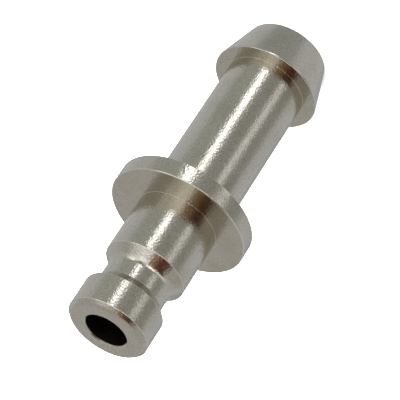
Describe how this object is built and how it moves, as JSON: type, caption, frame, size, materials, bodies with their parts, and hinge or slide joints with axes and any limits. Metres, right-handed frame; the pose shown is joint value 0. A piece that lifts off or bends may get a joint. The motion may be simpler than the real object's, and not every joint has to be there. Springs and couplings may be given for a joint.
{
  "type": "quick coupling plug with hose barb",
  "caption": "Turned metal coupling plug: bored nose with a locking groove and cone, round stop flange, smooth hose shank and a hose barb at its end.",
  "frame": {"origin": "centre of the barb's flat end face, on the turning axis; the plug stands on that face", "axes": "+Z along the turning axis, from the barb end to the nose; +X and +Y are radial, and no direction round the axis differs from another"},
  "size_m": [0.0086, 0.0086, 0.0224],
  "materials": {
    "nickel_plate": "semi-bright nickel plate over turned brass, with a fine satin grain"
  },
  "bodies": {
    "root": {"plug_body": "nickel_plate"}
  },
  "joints": []
}
